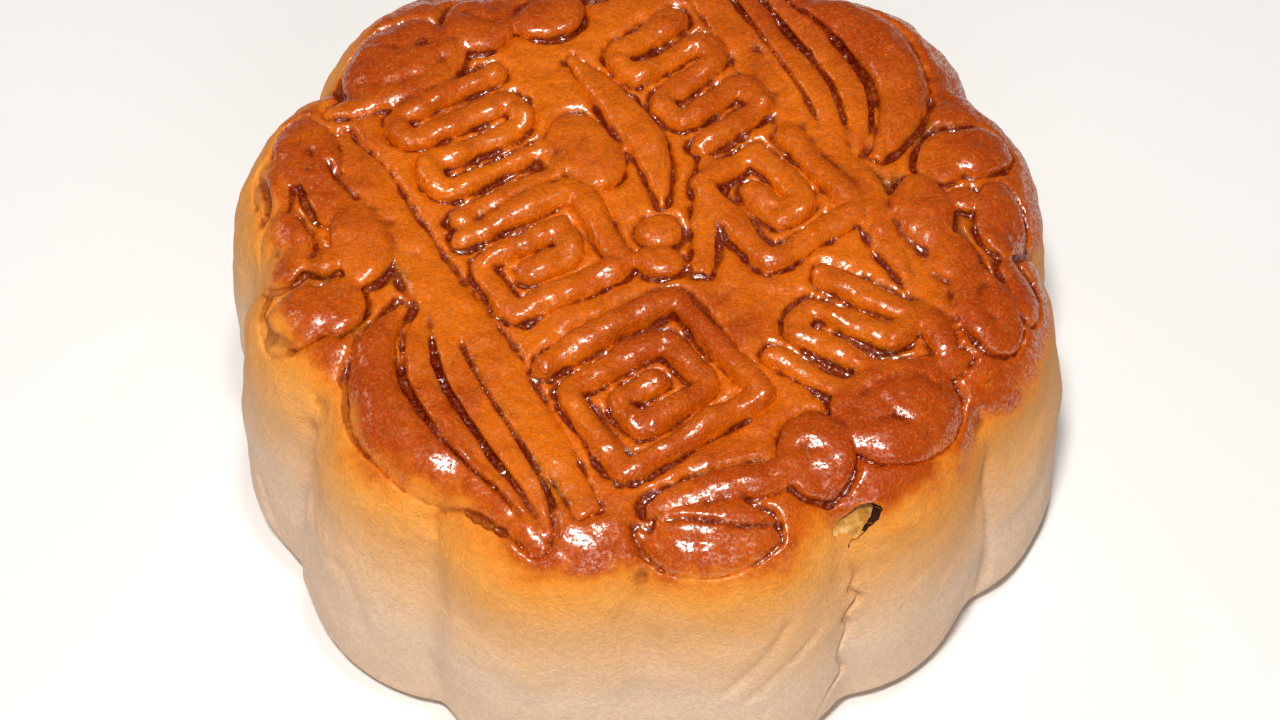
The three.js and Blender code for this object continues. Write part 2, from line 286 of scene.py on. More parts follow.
@dataclass
class LobedBody:
    """The cake without its relief: round columns about a core, with a rolled shoulder."""

    lobes: tuple[Lobe, ...] = (
        Lobe(0.1, -0.2), Lobe(-0.2, -0.8), Lobe(0.4, 1.6), Lobe(0.5, 0.1),
        Lobe(0.4, 0.1), Lobe(-0.4, 0.0), Lobe(-1.1, -0.1), Lobe(0.4, 0.0),
        Lobe(1.2, 0.2), Lobe(-0.8, -1.0), Lobe(-1.4, 0.0), Lobe(0.2, 0.2),
    )
    first_angle: float = math.radians(-75)
    reach: float = 24.0
    radius: float = 15.0
    height: float = 33.0
    crown: float = 0.6
    foot_rounding: float = 3.1
    shoulder_rounding: float = 7.6
    waist_swell: float = 0.45
    swell_top: float = 0.67
    lean: float = 3.4
    lean_start: float = 0.33
    core_radius: float = 34.0
    sides: int = 60
    steps: int = 9
    voxel: float = 0.6
    softening: int = 14

    @property
    def shoulder_height(self) -> float:
        """Where the shoulder starts to roll over."""
        return self.height - self.shoulder_rounding

    def side_swell(self, share: float) -> float:
        """How far the side stands out of straight, at a share of the height."""
        swell = self.waist_swell * math.sin(math.pi * min(1.0, share / self.swell_top))
        return swell - self.lean * max(0.0, share - self.lean_start) ** 2

    def column_radius(self, lobe: Lobe, height: float) -> float:
        """A lobe's own radius at a height."""
        share = height / self.height
        return self.radius + self.side_swell(share) + lobe.foot + (lobe.shoulder - lobe.foot) * share

    def column_axis(self, index: int) -> Vector:
        """The foot of a lobe's own axis."""
        angle = self.first_angle + 2 * math.pi * index / len(self.lobes)
        return Vector((self.reach * math.cos(angle), self.reach * math.sin(angle), 0.0))

    def ground_height(self, x: np.ndarray, y: np.ndarray) -> np.ndarray:
        """The height of the sunk ground of the top.

        Args:
            x: the places, from the middle.
            y: the places, from the middle.

        Returns:
            The heights, which roll down over the shoulder of the column that each is in.
        """
        rounding = self.shoulder_rounding
        out = np.hypot(x, y)
        past = np.clip(out - (self.core_radius - rounding), 0.0, rounding)
        for index, lobe in enumerate(self.lobes):
            axis = self.column_axis(index)
            flat = self.column_radius(lobe, self.shoulder_height) - rounding
            past = np.minimum(past, np.maximum(0.0, np.hypot(x - axis.x, y - axis.y) - flat))
        drop = rounding - np.sqrt(rounding**2 - past**2)
        share = np.minimum(1.0, out / self.core_radius)
        return self.height + self.crown * (1 - share**2) - drop

    def profile(self, radii: Sequence[float]) -> list[tuple[float, float]]:
        """Heights and radii up one column.

        Args:
            radii: the radius at the foot, and at each step up the side.

        Returns:
            The foot's rounding, the side and the shoulder's rounding.
        """
        quarter = [math.pi / 2 * step / self.steps for step in range(self.steps + 1)]
        foot = [(self.foot_rounding * (1 - math.cos(turn)),
                 radii[0] - self.foot_rounding * (1 - math.sin(turn))) for turn in quarter]
        span = self.shoulder_height - self.foot_rounding
        count = len(radii) - 1
        side = [(self.foot_rounding + span * step / count, radii[step]) for step in range(1, count)]
        shoulder = [(self.shoulder_height + self.shoulder_rounding * math.sin(turn),
                     radii[-1] - self.shoulder_rounding * (1 - math.cos(turn))) for turn in quarter]
        return foot + side + shoulder

    def core_profile(self) -> list[tuple[float, float]]:
        """The core's heights and radii, with the crown of the top.

        Returns:
            The heights and radii, from the foot up.
        """
        rings = self.profile([self.core_radius] * 3)
        flat = self.core_radius - self.shoulder_rounding
        for step in range(1, self.steps):
            radius = flat * (1 - step / self.steps)
            edge = (flat / self.core_radius) ** 2
            rings.append((self.height + self.crown * (edge - (radius / self.core_radius) ** 2), radius))
        return rings

    def build(self) -> bpy.types.Object:
        """Grows the columns and the core, and fuses them.

        Returns:
            The fused body.
        """
        columns = []
        span = self.shoulder_height - self.foot_rounding
        heights = [self.foot_rounding + span * step / self.steps for step in range(self.steps + 1)]
        for index, lobe in enumerate(self.lobes):
            radii = [self.column_radius(lobe, height) for height in heights]
            columns.append(grow(self.column_axis(index), self.profile(radii), self.sides, f"lobe_{index}"))
        columns.append(grow(Vector(), self.core_profile(), self.sides * 2, "core"))
        body = join(columns, "body")
        fuse(body, self.voxel, self.softening)
        return body


def grow(foot: Vector, profile: Sequence[tuple[float, float]], sides: int, name: str) -> bpy.types.Object:
    """Grows a round solid from a disc, by pulling its top up and resizing it.

    Args:
        foot: the foot of the solid's axis.
        profile: its heights over the foot, and its radii.
        sides: how many sides it has.
        name: the object's name.

    Returns:
        The closed solid.
    """
    height, radius = profile[0]
    solid = start_disc(sides, radius, name, location=foot + Vector((0, 0, height)))
    open_shell()
    for next_height, next_radius in profile[1:]:
        bpy.ops.mesh.extrude_region_move(
            TRANSFORM_OT_translate={"value": (0, 0, next_height - height)})
        share = next_radius / radius
        bpy.ops.transform.resize(value=(share, share, 1), center_override=foot)
        height, radius = next_height, next_radius
    close_shell()
    return solid


# ------------------------------------------------------------------ the moulded relief


@dataclass(frozen=True)
class Station:
    """One section of a swept ridge: its place, heading, half width and half height."""

    place: Vector
    heading: float
    half_width: float
    half_height: float


@dataclass(frozen=True)
class Ridge:
    """A smooth ridge through a few points; fullness 0 keeps its width, 1 makes a slim leaf."""

    name: str
    points: tuple[Point, ...]
    width: float
    rise: float
    fullness: float = 0.6


@dataclass(frozen=True)
class Pad:
    """A round flat-topped swelling: its middle, half widths, rise and turn in degrees."""

    name: str
    middle: Point
    half: Point
    rise: float
    turn: float = 0.0


class FretKind(Enum):
    """How a key fret runs."""

    MEANDER = "to and fro"
    SPIRAL = "round and inwards"


@dataclass(frozen=True)
class Fret:
    """A squared key fret: its kind, middle, tilt in degrees, length, number of runs and rise."""

    kind: FretKind
    middle: Point
    tilt: float
    length: float
    runs: int
    rise: float = 1.3


# Places on the top are in millimetres from the body's middle. What is turned comes twice,
# the second time half round.
TURNED_RIDGES = (
    Ridge("band", ((-28.5, 11), (-25.3, 5.2), (-21.4, -2), (-15.2, -12.2), (-9.8, -21.5), (-4.4, -30.8)),
          5.2, 0.8, 0.3),
    Ridge("outer_leaf", ((-21.4, -8), (-24.2, -13.4), (-23.7, -19.6), (-19.8, -24.6), (-14.0, -28.0),
                         (-8.6, -34.2)), 6.0, 1.4, 0.7),
    Ridge("middle_leaf", ((-19.6, -7.8), (-20.3, -13), (-19.1, -18.4), (-15.8, -23.6), (-10.8, -29.6)),
          3.1, 0.9),
    Ridge("inner_leaf", ((-18.5, -8.6), (-17.2, -13.6), (-15, -18.6), (-11.6, -24.2), (-8.2, -33)),
          4.2, 1.15, 0.7),
    Ridge("wave", ((-0.2, 30.2), (-4.2, 29.1), (-8.6, 28.2), (-13, 26.8), (-16, 25.2)), 3.4, 1.2, 0.4),
    Ridge("lip", ((0.4, 31.8), (-1.8, 33.4), (-5.2, 34.4), (-8.6, 34.2), (-12.4, 32.4)), 2.8, 1.0),
    Ridge("tongue", ((-29.6, 13.6), (-26, 15.4), (-21.6, 15.6)), 3.2, 1.0),
    Ridge("side_leaf", ((-35.4, 9), (-34.6, 5.4), (-33.2, 1.6)), 3.6, 0.9, 0.8),
)
TURNED_PADS = (
    Pad("back_pad", (-22.6, 19.6), (6.2, 5.2), 0.95, 20),
    Pad("side_pad", (-31.2, 8.6), (3.0, 4.8), 0.9, 20),
    Pad("rim_pad", (-15.4, 24.6), (3.6, 4.0), 0.95),
    Pad("lens", (-6.6, 31.6), (5.6, 1.8), 0.5),
    Pad("right_petal", (-25.8, -1.9), (2.7, 4.3), 1.15, 12),
    Pad("left_petal", (-33.0, -1.8), (2.6, 3.9), 1.0, 4),
    Pad("lower_petal", (-31.2, -9.6), (3.5, 2.9), 1.15, 24),
    Pad("near_petal", (-27.6, -8.6), (2.5, 3.3), 0.65, -20),
    Pad("far_petal", (-28.4, 3.0), (2.4, 3.2), 0.55, 30),
    Pad("blossom_eye", (-29.4, -3.6), (1.6, 1.5), 0.75),
)
MIDDLE_RIDGES = (
    Ridge("bud", ((-6.6, 20), (-2.4, 14.6), (0.6, 9), (2, 2.6)), 4.2, 1.3, 0.8),
    Ridge("stem", ((6.2, 8.2), (5.9, 1.5), (5.4, -5)), 3.0, 1.1, 0.2),
    Ridge("right_sprig", ((20.4, 4.2), (22.2, -0.6), (24.0, -5.4)), 2.9, 1.1, 0.4),
    Ridge("low_sprig", ((24.2, -8.2), (26.6, -11.4), (27.6, -15.2)), 2.8, 1.0, 0.5),
)
MIDDLE_PADS = (
    Pad("hump", (-5.2, 8.6), (3.3, 4.6), 0.9, 20),
    Pad("far_hump", (-8.8, 25.0), (3.6, 2.5), 1.1, 24),
    Pad("upper_pad", (1.6, -0.5), (2.2, 1.7), 0.8),
    Pad("lower_pad", (1.7, -4), (2.3, 1.7), 0.8),
)
FRETS = (
    Fret(FretKind.MEANDER, (-15.4, 9.6), 29, 10.6, 5),
    Fret(FretKind.SPIRAL, (-9, -2.8), 28, 11.6, 4),
    Fret(FretKind.SPIRAL, (0.8, -17.2), 34, 14.4, 5, 1.55),
    Fret(FretKind.MEANDER, (4.4, 17.4), 38, 7.6, 5),
    Fret(FretKind.SPIRAL, (12.6, 3.4), -56, 11.2, 4),
    Fret(FretKind.MEANDER, (18.2, -12), -28, 9.0, 4),
)


@dataclass
class Relief:
    """The moulded pattern of the top, modelled flat and then laid on the body's ground."""

    body: LobedBody
    sink: float = 0.5
    boldness: float = 1.05
    fret_width: float = 2.7
    fret_pitch: float = 3.4
    corner: float = 0.9
    sides: int = 20
    slimmest: float = 0.16
    unevenness: float = 0.2
    squareness: float = 0.74
    steps_per_point: int = 5
    end_rise: float = 0.35
    pad_rings: int = 9
    pad_sides: int = 36
    shortest_leg: float = 0.8
    fret_step: float = 2.0
    fret_tip: tuple[tuple[float, float], ...] = ((0.9, 0.35), (0.55, 0.8))
    fret_unevenness: float = 0.08
    least_turn: float = 1e-6
    dice: random.Random = field(default_factory=lambda: random.Random(SEED))

    def uneven(self, rise: float) -> float:
        """A rise, a little higher or lower by chance."""
        return rise * (1 + self.dice.uniform(-1, 1) * self.unevenness)

    def sweep(self, stations: Sequence[Station], name: str) -> bpy.types.Object:
        """Sweeps a squarish oval section through stations, by pulling a disc along.

        Args:
            stations: the sections, in order.
            name: the object's name.

        Returns:
            The closed ridge.
        """
        first = stations[0]
        ridge = start_disc(self.sides, 1, name, location=first.place,
                           rotation=(math.pi / 2, 0, first.heading - math.pi / 2))
        for vertex in ridge.data.vertices:
            vertex.co.x = math.copysign(abs(vertex.co.x) ** self.squareness, vertex.co.x)
            vertex.co.y = math.copysign(abs(vertex.co.y) ** self.squareness, vertex.co.y)
        settle(ridge)
        open_shell()
        size = (first.half_width, first.half_width, first.half_height)
        bpy.ops.transform.resize(value=size, center_override=first.place)
        for before, after in zip(stations, stations[1:]):
            bpy.ops.mesh.extrude_region_move(
                TRANSFORM_OT_translate={"value": after.place - before.place})
            turn = (after.heading - before.heading + math.pi) % (2 * math.pi) - math.pi
            if abs(turn) > self.least_turn:
                bpy.ops.transform.rotate(value=-turn, orient_axis="Z", center_override=after.place)
            wider = after.half_width / before.half_width
            taller = after.half_height / before.half_height
            bpy.ops.transform.resize(value=(wider, wider, taller), center_override=after.place)
        close_shell()
        return ridge

    def stations(self, places: Sequence[Vector], widths: Sequence[float],
                 rises: Sequence[float]) -> list[Station]:
        """Turns a line of places into sections square to it.

        Args:
            places: the line, on the flat.
            widths: the half width at each place.
            rises: the rise at each place.

        Returns:
            The sections.
        """
        sections = []
        last = len(places) - 1
        for index, (place, width, rise) in enumerate(zip(places, widths, rises)):
            along = places[min(last, index + 1)] - places[max(0, index - 1)]
            sections.append(Station(
                Vector((place.x, place.y, -self.sink)), math.atan2(along.y, along.x), width,
                self.sink + rise))
        return sections

    def ridge(self, shape: Ridge) -> bpy.types.Object:
        """Builds a smooth ridge that narrows to its ends.

        Args:
            shape: the ridge's line and sizes.

        Returns:
            The ridge, on the flat.
        """
        count = self.steps_per_point * len(shape.points)
        places = curve_points(shape.points, count)
        rise = self.uneven(shape.rise * self.boldness)
        tapers = [max(self.slimmest, math.sin(math.pi * step / count)) ** shape.fullness
                  for step in range(count + 1)]
        widths = [taper * shape.width / 2 for taper in tapers]
        rises = [rise * (self.end_rise + (1 - self.end_rise) * taper) for taper in tapers]
        return self.sweep(self.stations(places, widths, rises), shape.name)

    def pad(self, shape: Pad) -> bpy.types.Object:
        """Builds a swelling that is steep at its edge and flat on top.

        Args:
            shape: the swelling's place and sizes.

        Returns:
            The swelling, on the flat.
        """
        rise = self.uneven(shape.rise * self.boldness)
        profile = [(-self.sink, 1.0)]
        for ring in range(self.pad_rings):
            turn = math.pi / 2 * ring / self.pad_rings
            profile.append((rise * math.sin(turn) ** self.squareness, math.cos(turn) ** self.squareness))
        swelling = grow(Vector(), profile, self.pad_sides, shape.name)
        swelling.scale = (*shape.half, 1)
        swelling.rotation_euler = (0, 0, math.radians(shape.turn))
        swelling.location = (*shape.middle, 0)
        settle(swelling)
        return swelling

    def fret_path(self, fret: Fret) -> list[Vector]:
        """The corners of a key fret, about its own middle.

        Args:
            fret: the fret.

        Returns:
            The corners, in order along the ridge.
        """
        depth = (fret.runs - 1) * self.fret_pitch
        if fret.kind is FretKind.MEANDER:
            path = []
            for run in range(fret.runs):
                start = fret.length / 2 * (1 if run % 2 else -1)
                y = run * self.fret_pitch - depth / 2
                path += [Vector((start, y)), Vector((-start, y))]
            return path
        place = Vector((-fret.length / 2, depth / 2))
        heading = Vector((1, 0))
        reach = [fret.length, depth]
        path = [place.copy()]
        for leg in range(2 * fret.runs - 1):
            axis = leg % 2
            if leg > 2:
                reach[axis] -= self.fret_pitch
            if reach[axis] < self.shortest_leg * self.fret_pitch:
                break
            place = place + heading * reach[axis]
            path.append(place.copy())
            heading = Vector((heading.y, -heading.x))
        return path

    def rounded(self, corners: Sequence[Vector]) -> list[Vector]:
        """A path with its corners rounded, its long runs divided and its ends drawn in.

        Args:
            corners: the path's corners.

        Returns:
            The places along the rounded path.
        """
        path = [corners[0]]
        for before, corner, after in zip(corners, corners[1:], corners[2:]):
            start = corner + (before - corner).normalized() * self.corner
            end = corner + (after - corner).normalized() * self.corner
            path += [start, (start + end) / 4 + corner / 2, end]
        path.append(corners[-1])
        divided = []
        for start, end in zip(path, path[1:]):
            count = max(1, round((end - start).length / self.fret_step))
            divided += [start.lerp(end, step / count) for step in range(count)]
        divided.append(path[-1])
        return divided

    def fret(self, fret: Fret, name: str) -> bpy.types.Object:
        """Builds a key fret as one round bar with rounded corners and ends.

        Args:
            fret: the fret's kind and sizes.
            name: the object's name.

        Returns:
            The fret, on the flat.
        """
        tilt = math.radians(fret.tilt)
        across = Vector((math.cos(tilt), math.sin(tilt)))
        up = Vector((-math.sin(tilt), math.cos(tilt)))
        middle = Vector(fret.middle)
        places = [middle + across * point.x + up * point.y for point in self.rounded(self.fret_path(fret))]
        half = self.fret_width / 2
        outwards = [(places[0] - places[1]).normalized(), (places[-1] - places[-2]).normalized()]
        head, tail = ([places[end] + outwards[end] * half * reach for reach, _ in self.fret_tip]
                      for end in (0, -1))
        places = head + places + tail[::-1]
        shares = [share for _, share in self.fret_tip]
        shares += [1.0] * (len(places) - 2 * len(shares)) + shares[::-1]
        widths, rises = [], []
        for share in shares:
            widths.append(share * half * (1 + self.dice.uniform(-1, 1) * self.fret_unevenness))
            rises.append(share * self.uneven(fret.rise))
        return self.sweep(self.stations(places, widths, rises), name)

    def lay(self, relief: bpy.types.Object) -> None:
        """Lays the flat relief on the ground of the top.

        Args:
            relief: the pattern, which is bent.
        """
        places = read_points(relief)
        places[:, 2] += self.body.ground_height(places[:, 0], places[:, 1])
        write_points(relief, places)

    def build(self) -> bpy.types.Object:
        """Builds every piece of the pattern: the turned pieces twice, half round.

        Returns:
            The whole pattern, laid on the top.
        """
        pieces = []
        for way in (1, -1):
            for ridge in TURNED_RIDGES:
                pieces.append(self.ridge(replace(ridge, points=turned(ridge.points, way))))
            for pad in TURNED_PADS:
                pieces.append(self.pad(replace(pad, middle=turned((pad.middle,), way)[0])))
        pieces += [self.ridge(ridge) for ridge in MIDDLE_RIDGES]
        pieces += [self.pad(pad) for pad in MIDDLE_PADS]
        pieces += [self.fret(fret, f"fret_{index}") for index, fret in enumerate(FRETS)]
        relief = join(pieces, "relief")
        self.lay(relief)
        return relief


# ------------------------------------------------------------------ what baking does to it


class Face(Enum):
    """The face that a crease lies on, which says how its points are given."""

    TOP = "x and y"
    SIDE = "angle and height"


@dataclass(frozen=True)
class Crease:
    """A line pressed into the crust, or standing out where its depth is below zero."""

    face: Face
    points: tuple[Point, ...]
    width: float
    depth: float
    # How much darker the crease is painted: partly glaze pooled in it, partly painted shade.
    glaze_and_shade: float = 0.0


@dataclass(frozen=True)
class Browning:
    """A place on the top that the oven browned more, or less where its share is below zero."""

    middle: Point
    radius: float
    share: float


# Angles round the side are in degrees, and heights in millimetres.
CREASES = (
    Crease(Face.TOP, ((-36.0, 8), (-34.7, 3.7), (-35.5, 1.6)), 0.4, 0.4, 0.9),
    Crease(Face.TOP, ((-35.2, -4.6), (-34.1, -6.0), (-34.7, -8), (-33.8, -10.6), (-31.2, -12.6)),
           0.4, 0.4, 1.0),
    Crease(Face.TOP, ((-32, 5.4), (-31.2, 3), (-30, 1)), 0.35, 0.35, 0.6),
    Crease(Face.TOP, ((-29.4, 7.6), (-27.6, 4.8), (-26, 3)), 0.4, 0.3, 0.6),
    Crease(Face.TOP, ((1, -31.7), (3.6, -31.5), (6.6, -31.9), (9.6, -32.1), (13.4, -31)), 0.3, 0.3, 0.5),
    Crease(Face.SIDE, ((-150.5, 28), (-148.5, 25), (-149.5, 18), (-150, 10), (-150, 2)), 1.0, 0.6, 0.05),
    Crease(Face.SIDE, ((-147.5, 27), (-146.4, 19), (-147, 10), (-148, 3)), 1.0, -0.35),
    Crease(Face.SIDE, ((-149.5, 24), (-142, 17.5), (-134.5, 17.6), (-131, 10)), 0.8, 0.18, 0.05),
    Crease(Face.SIDE, ((-161.5, 12), (-160, 8), (-156, 2)), 0.8, 0.45, 0.2),
    Crease(Face.SIDE, ((-90.6, 27), (-89.2, 20), (-90.8, 12), (-90, 0)), 1.5, 0.2),
    Crease(Face.SIDE, ((-87.4, 27), (-87, 18), (-87.8, 6)), 1.6, -0.22),
    Crease(Face.SIDE, ((-120.8, 28), (-119.2, 20), (-120.6, 10), (-120, 0)), 1.4, 0.22),
    Crease(Face.SIDE, ((-117, 25), (-116.6, 16), (-117.4, 6)), 1.6, -0.2),
    Crease(Face.SIDE, ((-98, 19), (-104, 12), (-106, 5)), 1.3, 0.2),
    Crease(Face.SIDE, ((-31, 26), (-32.4, 18.6), (-32, 9), (-32.6, 2)), 0.8, 0.5, 0.15),
    Crease(Face.SIDE, ((-34, 22), (-34.6, 16), (-34.2, 8), (-35, 3)), 1.0, -0.4),
    Crease(Face.SIDE, ((-69.4, 24), (-73.4, 19.4), (-79.8, 14)), 0.7, 0.25, 0.1),
    Crease(Face.SIDE, ((-65, 20), (-71, 16.4), (-77, 12)), 0.7, 0.2, 0.05),
    Crease(Face.SIDE, ((-59.1, 26), (-58.3, 23.6), (-59.2, 21.6), (-57.9, 20), (-60.2, 18), (-59.4, 16),
                       (-61.2, 12.6), (-60, 9), (-62.9, 7), (-64.6, 3)), 0.35, 0.4, 0.35),
)
VALLEYS = tuple(
    Crease(Face.SIDE, ((angle + 0.6, 29), (angle - 0.7, 20), (angle + 0.6, 10), (angle, 0)), 1.3, 0.6, 0.05)
    for angle in (-180, 0, 30, 60, 90, 120, 150, 180))
TURNED_CREASES = (
    Crease(Face.TOP, ((-21.5, -11.6), (-21.7, -14.4), (-21.0, -17.6), (-18.2, -22.6), (-14.0, -27.2),
                      (-9.8, -31.8)), 0.26, 0.5, 0.6),
    Crease(Face.TOP, ((-19.0, -12.0), (-18.4, -15.0), (-17.2, -18.2), (-14.0, -23.6), (-10.2, -29.4)),
           0.24, 0.42, 0.5),
    Crease(Face.TOP, ((-16.4, -12.4), (-15.0, -15.8), (-13.0, -19.6), (-10.0, -25.0), (-7.2, -31.0)),
           0.22, 0.36, 0.45),
    Crease(Face.TOP, ((-27.6, 17.6), (-24.2, 16.6), (-20.4, 18.0), (-18.2, 20.6)), 0.7, 0.22, 0.15),
    Crease(Face.TOP, ((-26.4, 22.6), (-23.0, 21.0), (-19.6, 22.2)), 0.6, 0.2, 0.1),
    Crease(Face.TOP, ((-17.4, 26.4), (-15.2, 24.6), (-13.0, 24.8)), 0.6, 0.15, 0.1),
    Crease(Face.TOP, ((-32.6, 10.6), (-30.8, 8.4), (-31.4, 5.6)), 0.6, 0.25, 0.15),
)
BROWNINGS = (
    Browning((8, -9), 6, 0.4), Browning((1, -15), 8, 0.35), Browning((-20, -18), 8, 0.1),
    Browning((19, -23), 7, 0.3), Browning((-22, 6), 6, -0.35), Browning((-8, -24), 5, -0.65),
    Browning((-16, -6), 5, -0.3), Browning((-4, 12), 6, -0.15), Browning((24, 4), 6, 0.15),
    Browning((-30, 22), 8, 0.05), Browning((-29, -4), 6, -0.1), Browning((29, 4), 6, -0.15),
    Browning((10, 22), 8, 0.15),
)
OLIVE_PITS = (
    (-22, -4.6), (-29, -5.8), (-14.5, -16), (-12, -20.4), (-9, -25), (-8, -28.4), (6, -27.4), (9.4, -26.4),
    (16, -25.6), (26.6, 11), (22.5, 5), (26, -1.6), (29.4, 1), (23.4, -10.2), (22, -13.6), (-26.6, -10.8),
)


@dataclass
class Baking:
    """What baking does to the moulded cake: it puffs, warps and creases."""

    cake: bpy.types.Object
    body: LobedBody
    swells: tuple[tuple[float, float], ...] = ((11.0, 0.9), (5.0, 0.55), (2.4, 0.45), (1.2, 0.14))
    warps: tuple[tuple[float, float], ...] = ((12.0, 1.5), (5.0, 0.8))
    still_foot: tuple[float, float] = (0.8, 4.0)
    moulded_top: tuple[float, float] = (25.0, 31.0)
    side_share: float = 0.25
    fine_swell: float = 4.0
    crease_passes: int = 16
    crease_depth: float = 0.09
    crease_blur: int = 3
    crease_fade: tuple[float, float] = (-0.06, 0.2)
    hollow_depth: float = 0.4
    deepening: float = 0.9
    arc: float = 37.0
    broad_passes: int = 60
    ridge_foot: float = 0.3
    ground_rise: float = 0.85
    groove: tuple[float, float] = (0.2, 1.2)
    groove_passes: int = 3
    level_margin: float = 1.0
    face_margin: float = 2.0
    steps_per_knot: int = 6
    weight_steps: int = 20
    ridge_lift: tuple[float, float] = (0.1, 1.3)
    olive_lift: tuple[float, float] = (0.25, 0.7)
    olive_radius: float = 1.7
    usual_browning: float = 0.5

    def weigh(self, name: str, shares: np.ndarray) -> None:
        """Stores a share for each vertex in a group of this name, in even steps.

        Args:
            name: the group's name.
            shares: one share for each vertex.
        """
        group = self.cake.vertex_groups.new(name=name)
        steps = np.round(shares * self.weight_steps).astype(int)
        for step in range(1, self.weight_steps + 1):
            indices = np.nonzero(steps == step)[0].tolist()
            if indices:
                group.add(indices, step / self.weight_steps, "REPLACE")

    def raise_ground(self) -> None:
        """Lets the bare ground swell up between the ridges, so that only narrow grooves stay low."""
        places = read_points(self.cake)
        lift = places[:, 2] - self.body.ground_height(places[:, 0], places[:, 1])
        top = smooth_step(places[:, 2], self.body.shoulder_height, self.body.height - self.level_margin)
        ridged = places[(top > 0) & (lift > self.ridge_foot)]
        tree = KDTree(len(ridged))
        for index, place in enumerate(ridged):
            tree.insert(place, index)
        tree.balance()
        bare = np.nonzero((top > 0) & (lift <= self.ridge_foot))[0]
        away = np.array([tree.find(place)[2] for place in places[bare]])
        places[bare, 2] += self.ground_rise * smooth_step(away, *self.groove) * top[bare]
        write_points(self.cake, places)
        write_points(self.cake, softened(self.cake, self.groove_passes))

    def puff(self) -> None:
        """Warps the cake sideways and swells it out and in, by soft clouds."""
        heights = read_points(self.cake)[:, 2]
        raised = smooth_step(heights, *self.still_foot)
        self.weigh("raised", raised)
        moulded = smooth_step(heights, *self.moulded_top)
        self.weigh("moulded", raised * (self.side_share + (1 - self.side_share) * moulded))
        pushes = [(size, reach, way) for size, reach in self.warps for way in ("X", "Y")]
        pushes += [(size, reach, "NORMAL") for size, reach in self.swells]
        for index, (size, reach, way) in enumerate(pushes):
            clouds = bpy.data.textures.new(f"clouds_{index}", "CLOUDS")
            clouds.noise_scale = size
            clouds.noise_depth = 1
            clouds.noise_basis = "ORIGINAL_PERLIN" if way == "X" else "IMPROVED_PERLIN"
            apply_modifier(self.cake, "DISPLACE", texture=clouds, texture_coords="LOCAL", direction=way,
                           strength=reach, mid_level=0.5,
                           vertex_group="moulded" if size < self.fine_swell else "raised")
            bpy.data.textures.remove(clouds)
        self.cake.vertex_groups.clear()

    def nearness(self, places: np.ndarray, crease: Crease) -> np.ndarray:
        """How near each place is to a crease, from 0 to 1, less near the crease's ends.

        Args:
            places: the places of the skin.
            crease: the crease.

        Returns:
            One share for each place.
        """
        if crease.face is Face.TOP:
            flat = places[:, :2]
            knots = [Vector(point) for point in crease.points]
            away = places[:, 2] < self.body.shoulder_height - self.face_margin
        else:
            angles = np.degrees(np.arctan2(places[:, 1], places[:, 0]))
            flat = np.stack([np.radians(angles) * self.arc, places[:, 2]], axis=1)
            knots = [Vector((math.radians(angle) * self.arc, height)) for angle, height in crease.points]
            away = np.hypot(places[:, 0], places[:, 1]) < self.body.core_radius - self.face_margin
        line = curve_points([tuple(knot) for knot in knots], self.steps_per_knot * len(knots))
        nearest = np.full(len(places), np.inf)
        from_end = np.zeros(len(places))
        for index, (start, end) in enumerate(zip(line, line[1:])):
            run = np.array(end - start)
            offset = flat - np.array(start)
            along = np.clip(offset @ run / max(1e-9, run @ run), 0, 1)
            reach = np.hypot(*(offset - along[:, None] * run).T)
            closer = reach < nearest
            nearest[closer] = reach[closer]
            place = (index + along[closer]) / (len(line) - 1)
            from_end[closer] = np.minimum(place, 1 - place)
        nearest[away] = np.inf
        return np.exp(-(nearest / crease.width) ** 2) * smooth_step(from_end, *self.crease_fade)

    def press_creases(self) -> np.ndarray:
        """Presses the creases in.

        Returns:
            How dark each vertex is painted for lying in a crease, from 0 to 1: partly glaze pooled in it,
            partly painted shade.
        """
        places = read_points(self.cake)
        normals = read_points(self.cake, "normal")
        depth = np.zeros(len(places))
        dark = np.zeros(len(places))
        both_ways = [replace(crease, points=turned(crease.points, way))
                     for crease in TURNED_CREASES for way in (1, -1)]
        for crease in (*CREASES, *VALLEYS, *both_ways):
            share = self.nearness(places, crease)
            depth += crease.depth * share
            dark = np.maximum(dark, crease.glaze_and_shade * share)
        write_points(self.cake, places - normals * depth[:, None])
        return dark

    def hollowness(self, passes: int) -> np.ndarray:
        """How far each vertex lies under the skin that this much smoothing would leave."""
        offsets = softened(self.cake, passes) - read_points(self.cake)
        return np.einsum("ij,ij->i", offsets, read_points(self.cake, "normal"))

    def deepen_hollows(self) -> np.ndarray:
        """Draws every narrow hollow further in.

        Returns:
            How hollow each vertex lies, from 0 to 1.
        """
        hollow = np.maximum(0.0, self.hollowness(self.crease_passes))
        normals = read_points(self.cake, "normal")
        write_points(self.cake, read_points(self.cake) - normals * (self.deepening * hollow)[:, None])
        return blurred(self.cake, np.clip(hollow / self.crease_depth, 0.0, 1.0), self.crease_blur)

